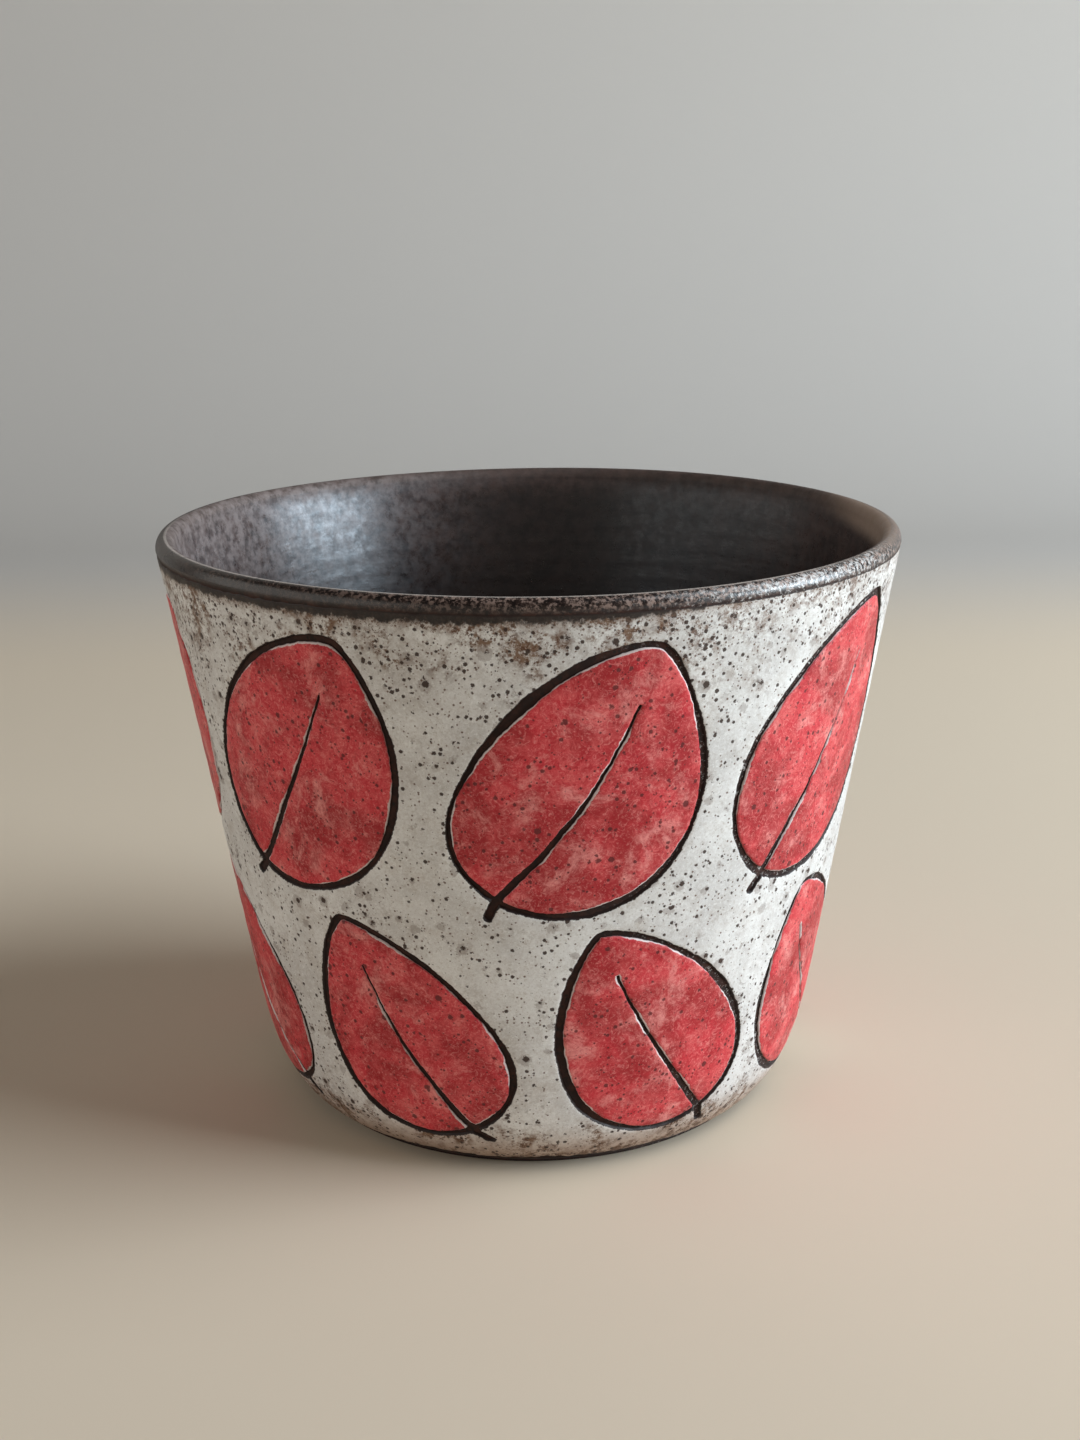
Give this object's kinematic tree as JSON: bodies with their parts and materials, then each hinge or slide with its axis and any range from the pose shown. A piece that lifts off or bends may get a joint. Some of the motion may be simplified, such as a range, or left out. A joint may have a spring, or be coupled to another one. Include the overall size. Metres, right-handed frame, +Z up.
{
  "type": "coffee cup",
  "caption": "Handleless stoneware coffee cup with flaring wall, round lip and turned foot; white slip carved with two rows of slanted red leaves, dark satin glaze inside.",
  "frame": {"origin": "centre of the foot ring's flat face, on the table", "axes": "+Z up the cup's axis of turning; -Y towards the viewer of the picture, +X to that viewer's right"},
  "size_m": [0.09, 0.09, 0.0715],
  "materials": {
    "stoneware": "satin, dark brown fired clay",
    "liner_glaze": "satin, dark brown mottled glaze",
    "white_slip": "soft matt, off-white with brown iron specks",
    "red_underglaze": "soft matt, mottled crimson with dark specks"
  },
  "bodies": {
    "root": {"clay_body": "stoneware", "liner_glaze": "liner_glaze", "slip_coat": "white_slip", "upper_leaf_1": "red_underglaze", "upper_leaf_2": "red_underglaze", "upper_leaf_3": "red_underglaze", "upper_leaf_4": "red_underglaze", "upper_leaf_5": "red_underglaze", "upper_leaf_6": "red_underglaze", "upper_leaf_7": "red_underglaze", "upper_leaf_8": "red_underglaze", "lower_leaf_1": "red_underglaze", "lower_leaf_2": "red_underglaze", "lower_leaf_3": "red_underglaze", "lower_leaf_4": "red_underglaze", "lower_leaf_5": "red_underglaze", "lower_leaf_6": "red_underglaze", "lower_leaf_7": "red_underglaze", "lower_leaf_8": "red_underglaze"}
  },
  "joints": []
}
